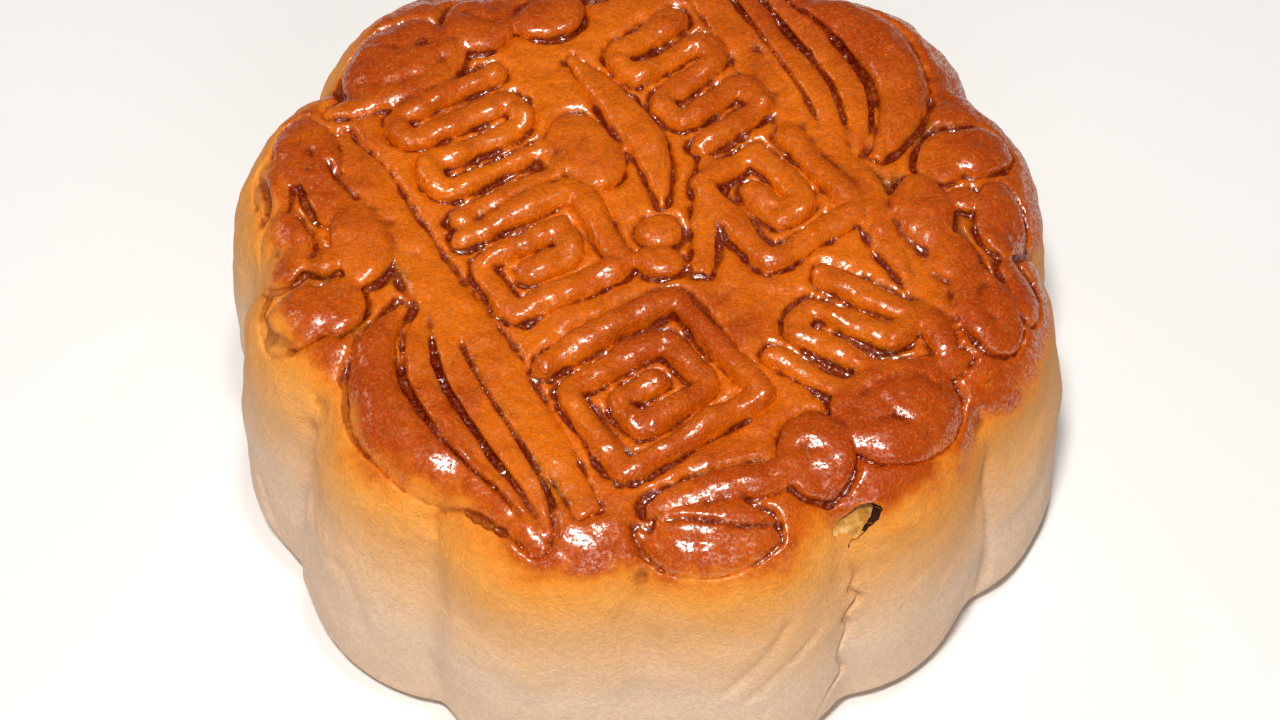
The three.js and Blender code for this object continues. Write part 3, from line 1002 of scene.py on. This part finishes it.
    def paint(self, dark: np.ndarray, hollow: np.ndarray) -> None:
        """Stores what the crust's finish reads, on every vertex.

        Args:
            dark: how dark each vertex is painted for lying in a crease, partly as pooled glaze and partly
                as painted shade.
            hollow: how hollow each vertex lies.
        """
        places = read_points(self.cake)
        lift = places[:, 2] - self.body.ground_height(places[:, 0], places[:, 1])
        broad = self.hollowness(self.broad_passes)
        pits = np.full(len(places), np.inf)
        for x, y in OLIVE_PITS:
            pits = np.minimum(pits, np.hypot(places[:, 0] - x, places[:, 1] - y))
        browned = np.full(len(places), self.usual_browning)
        for spot in BROWNINGS:
            away = np.hypot(places[:, 0] - spot.middle[0], places[:, 1] - spot.middle[1])
            browned += spot.share * np.exp(-(away / spot.radius) ** 2)
        masks = {
            # Creases painted dark: partly glaze pooled in them, partly painted shade.
            "crease": np.maximum(dark, hollow),
            "lift": smooth_step(lift, *self.ridge_lift),
            "browned": browned,
            # The broad hollows, which the crust darkens as painted shade.
            "hollow": np.clip(broad / self.hollow_depth, 0.0, 1.0),
            "olive": np.exp(-(pits / self.olive_radius) ** 2) * (1 - smooth_step(lift, *self.olive_lift)),
        }
        for name, values in masks.items():
            layer = self.cake.data.attributes.new(name, "FLOAT", "POINT")
            layer.data.foreach_set("value", values.astype(np.float32))

    def bake(self) -> None:
        """Puffs and creases the cake, and paints its masks, among them painted shade for its creases and
        hollows.
        """
        self.raise_ground()
        self.puff()
        dark = self.press_creases()
        hollow = self.deepen_hollows()
        self.paint(dark, hollow)


# ------------------------------------------------------------------ the tear in its side


@dataclass
class Tear:
    """The flake gone from the shoulder, and the crack along its edge."""

    place: tuple[float, float, float] = (19.0, -29.1, 30.0)
    azimuth: float = math.radians(-57)
    slope: float = math.radians(42)
    outline: tuple[Point, ...] = (
        (-2.5, -0.1), (-1.5, 0.8), (-0.7, 1.0), (0.1, 1.35), (1.4, 1.4),
        (2.0, 0.9), (2.35, 0.35), (1.65, -0.55), (0.55, -1.15), (-1.2, -1.7),
    )
    depth: float = 0.76
    crack: tuple[Point, ...] = (
        (2.2, 0.9), (2.3, 0.2), (1.7, -0.5), (1.2, -0.8), (0.5, -1.2), (-0.3, -1.65), (-1.0, -1.9),
        (-1.15, -2.5), (-0.95, -3.2), (-1.2, -4.0), (-1.0, -4.8), (-1.3, -5.6),
    )
    crack_width: float = 0.065
    crack_depth: float = 1.4
    crack_narrowing: tuple[float, float] = (0.25, 0.12)
    crack_unevenness: tuple[float, float] = (0.5, 1.4)
    ragged: float = 0.3
    outline_steps: int = 4
    crack_steps: int = 2
    cutter_top: float = 2.0
    dice: random.Random = field(default_factory=lambda: random.Random(SEED + 1))

    def frayed(self, points: Sequence[Point], steps: int, closed: bool) -> list[Vector]:
        """A line with each run divided, and its points moved a little by chance.

        Args:
            points: the line's points.
            steps: how many steps each run is divided into.
            closed: whether the line comes back to its start.

        Returns:
            The ragged line.
        """
        knots = [Vector(point) for point in points]
        ends = knots[1:] + (knots[:1] if closed else [])
        line = []
        for start, end in zip(knots, ends):
            reach = (end - start).length / steps * self.ragged
            for step in range(steps):
                shake = Vector((self.dice.uniform(-1, 1), self.dice.uniform(-1, 1))) * reach
                line.append(start.lerp(end, step / steps) + shake)
        if not closed:
            line.append(knots[-1])
        return line

    def anchor(self, cake: bpy.types.Object) -> np.ndarray:
        """The point of the uncut skin that is nearest to the tear's place."""
        skin = read_points(cake)
        return skin[np.argmin(np.linalg.norm(skin - np.array(self.place), axis=1))]

    def seat(self, cutter: bpy.types.Object, anchor: np.ndarray) -> None:
        """Turns a cutter to the shoulder and sets it on the cake's skin.

        Args:
            cutter: the plate, which is moved.
            anchor: the point of the skin that it is set on.
        """
        away = Vector((math.cos(self.azimuth) * math.cos(self.slope),
                       math.sin(self.azimuth) * math.cos(self.slope), math.sin(self.slope)))
        across = Vector((-math.sin(self.azimuth), math.cos(self.azimuth), 0))
        up = away.cross(across)
        write_points(cutter, read_points(cutter) @ np.array((across, up, away)) + anchor)

    def plate(self, line: Sequence[Vector], top: float, bottom: float, name: str) -> bpy.types.Object:
        """Builds an upright plate of a closed outline.

        Args:
            line: the outline.
            top: the height of its top.
            bottom: the height of its bottom.
            name: the object's name.

        Returns:
            The closed plate.
        """
        plate = start_disc(len(line), 1, name)
        for vertex, place in zip(plate.data.vertices, line):
            vertex.co = (place.x, place.y, bottom)
        open_shell()
        bpy.ops.mesh.extrude_region_move(TRANSFORM_OT_translate={"value": (0, 0, top - bottom)})
        close_shell()
        return plate

    def crack_outline(self) -> list[Vector]:
        """The crack's outline: out along one lip and back along the other.

        Returns:
            The places round the crack.
        """
        line = self.frayed(self.crack, self.crack_steps, closed=False)
        last = len(line) - 1
        narrowest, start = self.crack_narrowing
        near, far = [], []
        for index, place in enumerate(line):
            along = (line[min(last, index + 1)] - line[max(0, index - 1)]).normalized()
            square = Vector((-along.y, along.x))
            share = max(narrowest, math.sin(math.pi * (start + (1 - start) * index / last)))
            width = self.crack_width * share * self.dice.uniform(*self.crack_unevenness)
            near.append(place + square * width)
            far.append(place - square * width)
        return near + far[::-1]

    def cut(self, cake: bpy.types.Object, crumb: bpy.types.Material, crack_shadow: bpy.types.Material) -> None:
        """Cuts the flake and the crack out of the cake.

        Args:
            cake: the cake.
            crumb: the finish of the flake's bed.
            crack_shadow: the finish of the crack's walls, painted nearly black as the crack's shadow.
        """
        outline = self.frayed(self.outline, self.outline_steps, closed=True)
        flake = self.plate(outline, self.cutter_top, -self.depth, "flake")
        crack = self.plate(self.crack_outline(), self.cutter_top, -self.crack_depth, "crack")
        anchor = self.anchor(cake)
        for cutter, finish in ((flake, crumb), (crack, crack_shadow)):
            self.seat(cutter, anchor)
            cutter.data.materials.append(finish)
            cake.data.materials.append(finish)
            apply_modifier(cake, "BOOLEAN", operation="DIFFERENCE", solver="FAST", object=cutter)
            bpy.data.objects.remove(cutter)


# ------------------------------------------------------------------ the whole cake


@dataclass
class Mooncake:
    """The cake: body and relief fused into one skin, baked, and brought to the frame."""

    body: LobedBody = field(default_factory=LobedBody)
    voxel: float = 0.26
    softening: int = 3
    most_triangles: int = 190_000
    sharp_from: float = math.radians(55)

    def centre(self, shape: bpy.types.Object) -> Vector:
        """The middle of a shape's outline on the flat.

        Args:
            shape: the object.

        Returns:
            The middle, at the height of the foot.
        """
        places = read_points(shape)
        low, high = places.min(axis=0), places.max(axis=0)
        return Vector(((low[0] + high[0]) / 2, (low[1] + high[1]) / 2, 0))

    def thin_out(self, cake: bpy.types.Object) -> None:
        """Lowers the number of triangles, most where the skin is smooth.

        Args:
            cake: the cake.
        """
        cake.data.calc_loop_triangles()
        ratio = self.most_triangles / len(cake.data.loop_triangles)
        apply_modifier(cake, "DECIMATE", decimate_type="COLLAPSE", ratio=min(1.0, ratio),
                       use_collapse_triangulate=True)

    def build(self, crust: bpy.types.Material, crumb: bpy.types.Material,
              crack_shadow: bpy.types.Material) -> tuple[bpy.types.Object, Vector]:
        """Builds the cake.

        Args:
            crust: the finish of its skin.
            crumb: the finish of the flake's bed.
            crack_shadow: the finish of the crack's walls, painted nearly black as the crack's shadow.

        Returns:
            The cake, and its axis in the frame.
        """
        body = self.body.build()
        shift = -self.centre(body)
        relief = Relief(self.body).build()
        cake = join([body, relief], "crust")
        fuse(cake, self.voxel, self.softening)
        Baking(cake, self.body).bake()
        self.thin_out(cake)
        cake.data.materials.clear()
        cake.data.materials.append(crust)
        Tear().cut(cake, crumb, crack_shadow)
        cake.location = shift * MM
        cake.scale = (MM, MM, MM)
        settle(cake)
        bpy.ops.object.shade_smooth_by_angle(angle=self.sharp_from)
        return cake, shift * MM


# ------------------------------------------------------------------ finishes


def srgb(red: float, green: float, blue: float) -> Colour:
    """A colour given from 0 to 255 as a screen shows it, as light.

    Args:
        red: its red.
        green: its green.
        blue: its blue.

    Returns:
        The colour as light.
    """
    shares = [part / 255 for part in (red, green, blue)]
    return tuple(share / 12.92 if share <= 0.04045 else ((share + 0.055) / 1.055) ** 2.4
                 for share in shares)


Value = bpy.types.NodeSocket | float


class Tree:
    """Places shader nodes in one tree and links them as it goes."""

    def __init__(self, tree: bpy.types.NodeTree) -> None:
        """Starts with an empty tree."""
        self.tree = tree
        tree.nodes.clear()

    def node(self, kind: str, values: dict[str | int, object] | None = None,
             **settings: object) -> bpy.types.Node:
        """Adds a node.

        Args:
            kind: the node's type, without its first word.
            values: what its inputs are, as values or as sockets to link.
            settings: the node's own settings.

        Returns:
            The node.
        """
        node = self.tree.nodes.new(f"ShaderNode{kind}")
        for key, value in settings.items():
            setattr(node, key, value)
        for key, value in (values or {}).items():
            self.feed(node.inputs[key], value)
        return node

    def feed(self, socket: bpy.types.NodeSocket, value: object) -> None:
        """Links a socket to an input, or sets the input's value.

        Args:
            socket: the input.
            value: the socket to link, or the value to set.
        """
        if isinstance(value, bpy.types.NodeSocket):
            self.tree.links.new(value, socket)
        elif socket.type == "RGBA" and len(value) == 3:
            socket.default_value = (*value, 1.0)
        else:
            socket.default_value = value

    def place(self) -> Value:
        """The place on the piece, in metres."""
        return self.node("TexCoord").outputs["Object"]

    def math(self, operation: str, first: Value, second: Value) -> Value:
        """The result of a sum on two values."""
        return self.node("Math", {0: first, 1: second}, operation=operation).outputs[0]

    def add(self, first: Value, *others: Value) -> Value:
        """All of these values added up.

        Args:
            first: the first value.
            others: what is added to it.

        Returns:
            The sum.
        """
        for other in others:
            first = self.math("ADD", first, other)
        return first

    def times(self, first: Value, *others: Value) -> Value:
        """All of these values multiplied.

        Args:
            first: the first value.
            others: what it is multiplied by.

        Returns:
            The product.
        """
        for other in others:
            first = self.math("MULTIPLY", first, other)
        return first

    def swing(self, noise: Value, reach: Value) -> Value:
        """Noise as a push to either side of nought, this far from end to end."""
        return self.times(self.math("SUBTRACT", noise, 0.5), reach)

    def span(self, value: Value, low: float, high: float, to_low: float = 0.0,
             to_high: float = 1.0) -> Value:
        """A value brought softly from one span to another."""
        return self.node("MapRange", {0: value, 1: low, 2: high, 3: to_low, 4: to_high},
                         interpolation_type="SMOOTHSTEP").outputs[0]

    def mix(self, share: Value, first: object, second: object, blend: str = "MIX") -> Value:
        """Two colours mixed by a share."""
        node = self.node("Mix", {0: share, 6: first, 7: second}, data_type="RGBA", blend_type=blend)
        return node.outputs[2]

    def noise(self, vector: Value, size: float, detail: float = 2.0, roughness: float = 0.5) -> Value:
        """Soft noise whose blots are this size, in millimetres."""
        return self.node("TexNoise", {"Vector": vector, "Scale": 1 / (size * MM), "Detail": detail,
                                      "Roughness": roughness}).outputs["Fac"]

    def attribute(self, name: str) -> Value:
        """A mask that is stored on the mesh."""
        return self.node("Attribute", attribute_name=name, attribute_type="GEOMETRY").outputs["Fac"]

    def ramp(self, value: Value, stops: Sequence[tuple[float, Colour]]) -> Value:
        """A colour read off a scale of colours.

        Args:
            value: where on the scale to read.
            stops: the places and colours of the scale.

        Returns:
            The colour.
        """
        node = self.node("ValToRGB", {0: value})
        elements = node.color_ramp.elements
        while len(elements) < len(stops):
            elements.new(0.5)
        for element, (place, colour) in zip(elements, stops):
            element.position = place
            element.color = (*colour, 1.0)
        return node.outputs[0]

    def surface(self, values: dict[str | int, object]) -> None:
        """Adds the shader with these inputs, and makes it the surface."""
        shader = self.node("BsdfPrincipled", values)
        self.node("OutputMaterial", {"Surface": shader.outputs[0]})


def start_material(name: str) -> tuple[bpy.types.Material, Tree]:
    """Starts a material of this name, with an empty tree.

    Args:
        name: the material's name.

    Returns:
        The material and its tree.
    """
    material = bpy.data.materials.new(name)
    material.use_nodes = True
    return material, Tree(material.node_tree)


@dataclass(frozen=True)
class Grain:
    """The fine grain that both crust and crumb have: a height, and a mask of flecks."""

    detail: float = 3.0
    roughness: float = 0.7
    fine_share: float = 0.7
    cell_share: float = 0.3
    flecks: tuple[float, float] = (0.52, 0.74)

    def build(self) -> bpy.types.NodeTree:
        """Builds the group.

        Returns:
            The group, with a vector and a scale as its inputs.
        """
        group = bpy.data.node_groups.new("grain", "ShaderNodeTree")
        sockets = (("Vector", "INPUT", "Vector"), ("Scale", "INPUT", "Float"),
                   ("Height", "OUTPUT", "Float"), ("Flecks", "OUTPUT", "Float"))
        for name, way, kind in sockets:
            group.interface.new_socket(name, in_out=way, socket_type=f"NodeSocket{kind}")
        tree = Tree(group)
        start = group.nodes.new("NodeGroupInput")
        end = group.nodes.new("NodeGroupOutput")
        pattern = {"Vector": start.outputs["Vector"], "Scale": start.outputs["Scale"]}
        fine = tree.node("TexNoise", {**pattern, "Detail": self.detail,
                                      "Roughness": self.roughness}).outputs["Fac"]
        cells = tree.node("TexVoronoi", pattern, feature="F1").outputs["Distance"]
        height = tree.add(tree.times(fine, self.fine_share), tree.times(cells, self.cell_share))
        tree.feed(end.inputs["Height"], height)
        tree.feed(end.inputs["Flecks"], tree.span(fine, *self.flecks))
        return group


@dataclass(frozen=True)
class CrustFinish:
    """Baked crust: glossy and amber on top, matt and tan down its side, with painted shade in its hollows
    and, partly, in its creases.
    """

    side: tuple[tuple[float, Colour], ...] = (
        (0.0, srgb(232, 203, 178)), (0.30, srgb(231, 189, 149)), (0.58, srgb(232, 174, 116)),
        (0.78, srgb(230, 160, 82)), (0.92, srgb(224, 136, 46)), (1.0, srgb(206, 96, 14)),
    )
    ground: Colour = srgb(214, 110, 2)
    browned: Colour = srgb(174, 70, 0)
    # The colour of the creases: partly pooled glaze, partly painted shade.
    crease: Colour = srgb(106, 22, 4)
    # Painted shade in the broad hollows of the top.
    cavity_shade: Colour = srgb(124, 32, 5)
    olive: Colour = srgb(96, 72, 8)
    glaze_low: float = 12.5
    glaze_high: float = 31.8
    glaze_lean: tuple[float, float] = (0.055, 0.028)
    glaze_swing: tuple[float, float] = (6.0, 3.0)
    glaze_edge: tuple[float, float] = (0.88, 1.0)
    rim: tuple[float, float] = (20.0, 33.0)
    ridge_brown: float = 0.4
    rim_brown: float = 0.44
    brown_swing: tuple[float, float] = (1.0, 0.9)
    usual_browning: float = 0.5
    olive_share: float = 0.75
    hollow_from: float = 0.05
    cavity_shade_share: float = 0.7
    # Where the crease mask begins and ends its painted shade and pooled glaze.
    crease_glaze_and_shade: tuple[float, float] = (0.1, 0.65)
    crease_patchy: tuple[float, float, float, float] = (0.3, 0.55, 0.7, 1.0)
    crease_by_glaze: tuple[float, float, float, float] = (0.7, 1.0, 0.1, 0.88)
    brightness: tuple[float, float] = (0.98, 0.96)
    mottling: tuple[float, float] = (0.62, 1.25)
    fleck: Colour = srgb(240, 160, 50)
    fleck_share: float = 0.42
    gloss_edge: tuple[float, float] = (0.62, 0.98)
    gloss: float = 0.4
    matt: float = 0.62
    gloss_swing: float = 0.16
    broad_noise: tuple[float, float, float] = (9.0, 3.0, 0.55)
    patch_noise: tuple[float, float, float] = (3.2, 3.0, 0.6)
    mottle_noise: tuple[float, float, float] = (0.5, 4.0, 0.8)
    soft_noise: tuple[float, float, float] = (1.3, 3.0, 0.6)
    soft_height: float = 0.11
    grain_size: float = 0.3
    grain_height: float = 0.16
    sparkle_noise: tuple[float, float, float] = (0.3, 2.0, 0.7)
    sparkle: tuple[float, float, float, float] = (0.46, 0.53, 0.06, 1.0)
    specular: float = 0.14
    coat_roughness: float = 0.23
    coat_ior: float = 2.0

    def glaze(self, tree: Tree, place: Value, broad: Value, patch: Value) -> Value:
        """How far up the glaze's own scale a place lies, from the foot's 0 to the top's 1.

        Args:
            tree: the material's tree.
            place: the place on the piece.
            broad: the broad noise.
            patch: the noise of patches.

        Returns:
            The share, which runs higher and lower about the side.
        """
        x, y, z = tree.node("SeparateXYZ", {0: place}).outputs
        lean_x, lean_y = self.glaze_lean
        height = tree.add(tree.times(z, 1 / MM), tree.times(x, lean_x / MM), tree.times(y, lean_y / MM),
                          tree.swing(broad, self.glaze_swing[0]), tree.swing(patch, self.glaze_swing[1]))
        return tree.node("MapRange", {0: height, 1: self.glaze_low, 2: self.glaze_high}).outputs[0]

    def top_colour(self, tree: Tree, place: Value, broad: Value, patch: Value) -> Value:
        """The colour of the top, browner on its ridges, at its rim and in its browned places.

        Args:
            tree: the material's tree.
            place: the place on the piece.
            broad: the broad noise.
            patch: the noise of patches.

        Returns:
            The colour.
        """
        x, y, _ = tree.node("SeparateXYZ", {0: place}).outputs
        flat = tree.node("CombineXYZ", {0: x, 1: y}).outputs[0]
        out = tree.node("VectorMath", {0: flat}, operation="LENGTH").outputs["Value"]
        rim = tree.span(out, self.rim[0] * MM, self.rim[1] * MM)
        brown = tree.add(
            tree.times(tree.attribute("lift"), self.ridge_brown), tree.times(rim, self.rim_brown),
            tree.swing(broad, self.brown_swing[0]), tree.swing(patch, self.brown_swing[1]),
            tree.math("SUBTRACT", tree.attribute("browned"), self.usual_browning))
        return tree.mix(tree.span(brown, 0.0, 1.0), self.ground, self.browned)

    def colour(self, tree: Tree, glaze: Value, on_top: Value, top: Value, patch: Value) -> Value:
        """The colour of the crust, with painted shade in its hollows, and its creases darker, partly as
        pooled glaze and partly as painted shade, before its fine mottling.

        Args:
            tree: the material's tree.
            glaze: how far up the glaze's scale a place lies.
            on_top: how far it has the top's glaze.
            top: the colour of the top.
            patch: the noise of patches.

        Returns:
            The colour.
        """
        colour = tree.mix(on_top, tree.ramp(glaze, self.side), top)
        colour = tree.mix(tree.times(tree.attribute("olive"), self.olive_share), colour, self.olive)
        # Painted shade in the broad hollows.
        hollow = tree.span(tree.attribute("hollow"), self.hollow_from, 1.0)
        colour = tree.mix(tree.times(hollow, on_top, self.cavity_shade_share), colour, self.cavity_shade)
        # Darkens the creases: partly pooled glaze, partly painted shade.
        dark = tree.times(tree.span(tree.attribute("crease"), *self.crease_glaze_and_shade),
                          tree.span(patch, *self.crease_patchy), tree.span(glaze, *self.crease_by_glaze))
        return tree.mix(dark, colour, self.crease)

    def build(self, grain: bpy.types.NodeTree) -> bpy.types.Material:
        """Builds the material.

        Args:
            grain: the group of the fine grain.

        Returns:
            The material.
        """
        material, tree = start_material("baked crust")
        place = tree.place()
        broad = tree.noise(place, *self.broad_noise)
        patch = tree.noise(place, *self.patch_noise)
        mottle = tree.noise(place, *self.mottle_noise)
        fine = tree.node("Group", {"Vector": place, "Scale": 1 / (self.grain_size * MM)}, node_tree=grain)

        glaze = self.glaze(tree, place, broad, patch)
        on_top = tree.span(glaze, *self.glaze_edge)
        top = self.top_colour(tree, place, broad, patch)
        colour = self.colour(tree, glaze, on_top, top, patch)
        shade = tree.add(tree.span(on_top, 0.0, 1.0, *self.brightness),
                         tree.swing(mottle, tree.span(on_top, 0.0, 1.0, *self.mottling)))
        grey = tree.node("CombineColor", {0: shade, 1: shade, 2: shade}).outputs[0]
        colour = tree.mix(1.0, colour, grey, "MULTIPLY")
        colour = tree.mix(tree.times(fine.outputs["Flecks"], self.fleck_share), colour, self.fleck)

        rough = tree.add(tree.span(glaze, *self.gloss_edge, self.matt, self.gloss),
                         tree.swing(mottle, self.gloss_swing))
        soft = tree.node("Bump", {"Strength": 1.0, "Distance": self.soft_height * MM,
                                  "Height": tree.noise(place, *self.soft_noise)})
        bump = tree.node("Bump", {"Strength": 1.0, "Distance": self.grain_height * MM,
                                  "Height": fine.outputs["Height"], "Normal": soft.outputs[0]})
        sparkle = tree.span(tree.noise(place, *self.sparkle_noise), *self.sparkle)
        tree.surface({
            "Base Color": colour, "Roughness": rough, "Normal": bump.outputs[0],
            "Specular IOR Level": self.specular, "Coat Weight": tree.times(on_top, sparkle),
            "Coat Roughness": self.coat_roughness, "Coat IOR": self.coat_ior})
        return material


@dataclass(frozen=True)
class CrumbFinish:
    """The moist bed under the flake: olive and brown, with pale dry spots."""

    moist: Colour = srgb(204, 146, 72)
    pale: Colour = srgb(228, 192, 130)
    dark: Colour = srgb(146, 92, 30)
    spots: tuple[float, float, float] = (0.3, 0.5, 0.68)
    patch_noise: tuple[float, float, float] = (1.4, 3.0, 0.6)
    fleck_share: float = 0.4
    grain_size: float = 0.3
    grain_height: float = 0.12
    roughness: float = 0.38

    def build(self, grain: bpy.types.NodeTree) -> bpy.types.Material:
        """Builds the material.

        Args:
            grain: the group of the fine grain.

        Returns:
            The material.
        """
        material, tree = start_material("crumb")
        place = tree.place()
        fine = tree.node("Group", {"Vector": place, "Scale": 1 / (self.grain_size * MM)}, node_tree=grain)
        stops = tuple(zip(self.spots, (self.dark, self.moist, self.pale)))
        colour = tree.ramp(tree.noise(place, *self.patch_noise), stops)
        colour = tree.mix(tree.times(fine.outputs["Flecks"], self.fleck_share), colour, self.pale)
        bump = tree.node("Bump", {"Distance": self.grain_height * MM, "Height": fine.outputs["Height"]})
        tree.surface({"Base Color": colour, "Roughness": self.roughness, "Normal": bump.outputs[0]})
        return material


@dataclass(frozen=True)
class CrackShadowFinish:
    """The walls of the crack, painted nearly black as the shadow inside the narrow crack."""

    # Painted shadow of the crack, mottled with a little brown.
    dark: Colour = srgb(38, 16, 6)
    brown: Colour = srgb(70, 32, 10)
    patch_size: float = 0.6
    roughness: float = 0.8

    def build(self) -> bpy.types.Material:
        """Builds the material.

        Returns:
            The material.
        """
        material, tree = start_material("painted crack shadow")
        colour = tree.mix(tree.noise(tree.place(), self.patch_size), self.dark, self.brown)
        tree.surface({"Base Color": colour, "Roughness": self.roughness})
        return material


@dataclass(frozen=True)
class FloorFinish:
    """A plain pale floor."""

    colour: Colour = (0.84, 0.83, 0.82)
    roughness: float = 0.8

    def build(self) -> bpy.types.Material:
        """Builds the material.

        Returns:
            The material.
        """
        material, tree = start_material("pale floor")
        tree.surface({"Base Color": self.colour, "Roughness": self.roughness})
        return material


# ------------------------------------------------------------------ the studio


@dataclass(frozen=True)
class SoftLight:
    """A soft box: where it stands about the cake, its size and its power in watts."""

    name: str
    azimuth: float
    elevation: float
    distance: float
    size: float
    power: float
    colour: Colour = (1.0, 1.0, 1.0)


@dataclass
class Studio:
    """A pale floor, soft lights and the camera."""

    axis: Vector
    elevation: float = 55.23
    distance: float = 375.3
    aim: tuple[float, float, float] = (-0.16, -3.12, 17.1)
    lens: float = 111.3
    nearest: float = 0.01
    floor_size: float = 6.0
    lit_height: float = 0.02
    lights: tuple[SoftLight, ...] = (
        SoftLight("key", -100, 68, 0.6, 0.07, 2.6, (1.0, 0.98, 0.95)),
        SoftLight("overhead", -60, 84, 0.6, 0.06, 0.7, (1.0, 0.98, 0.95)),
        SoftLight("fill", -80, 30, 0.9, 0.5, 0.95),
        SoftLight("side", 165, 30, 0.9, 0.3, 0.34),
    )
    sky: float = 0.1

    def floor(self) -> bpy.types.Object:
        """Builds the floor, a wide plate that the cake stands on.

        Returns:
            The floor, which belongs to no body.
        """
        deselect_all()
        bpy.ops.mesh.primitive_plane_add(size=self.floor_size)
        floor = bpy.context.object
        floor.name = "floor"
        floor.data.materials.append(FloorFinish().build())
        return floor

    def light(self, soft: SoftLight) -> None:
        """Hangs one soft box, turned to the cake.

        Args:
            soft: the soft box.
        """
        lamp = bpy.data.lights.new(soft.name, "AREA")
        lamp.shape = "DISK"
        lamp.size = soft.size
        lamp.energy = soft.power
        lamp.color = soft.colour
        holder = bpy.data.objects.new(soft.name, lamp)
        bpy.context.collection.objects.link(holder)
        azimuth, elevation = math.radians(soft.azimuth), math.radians(soft.elevation)
        away = Vector((math.cos(azimuth) * math.cos(elevation), math.sin(azimuth) * math.cos(elevation),
                       math.sin(elevation)))
        holder.location = self.axis + Vector((0, 0, self.lit_height)) + away * soft.distance
        holder.rotation_euler = away.to_track_quat("Z", "Y").to_euler()

    def camera(self) -> None:
        """Sets the camera, which looks down on the cake from in front."""
        lens = bpy.data.cameras.new("camera")
        lens.lens = self.lens
        lens.clip_start = self.nearest
        holder = bpy.data.objects.new("camera", lens)
        bpy.context.collection.objects.link(holder)
        down = math.radians(self.elevation)
        back = Vector((0, -math.cos(down), math.sin(down)))
        holder.location = self.axis + Vector(self.aim) * MM + back * self.distance * MM
        holder.rotation_euler = (math.pi / 2 - down, 0, 0)
        bpy.context.scene.camera = holder

    def build(self) -> None:
        """Sets up the floor, the lights, the sky and the camera."""
        self.floor()
        for soft in self.lights:
            self.light(soft)
        world = bpy.data.worlds.new("studio")
        world.use_nodes = True
        background = world.node_tree.nodes["Background"]
        background.inputs["Color"].default_value = (1.0, 1.0, 1.0, 1.0)
        background.inputs["Strength"].default_value = self.sky
        scene = bpy.context.scene
        scene.world = world
        scene.view_settings.view_transform = "Standard"
        scene.view_settings.look = "Medium High Contrast"
        self.camera()


def main() -> None:
    """Builds the cake and its studio, and ties the cake to the frame."""
    logging.basicConfig(level=logging.INFO, format="%(message)s")
    grain = Grain().build()
    cake, axis = Mooncake().build(
        CrustFinish().build(grain), CrumbFinish().build(grain), CrackShadowFinish().build())
    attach(cake, BODY)
    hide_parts(NODE)
    LOG.info("%s: %d vertices, %d faces", cake.name, len(cake.data.vertices), len(cake.data.polygons))
    Studio(axis).build()


if __name__ == "__main__":
    main()
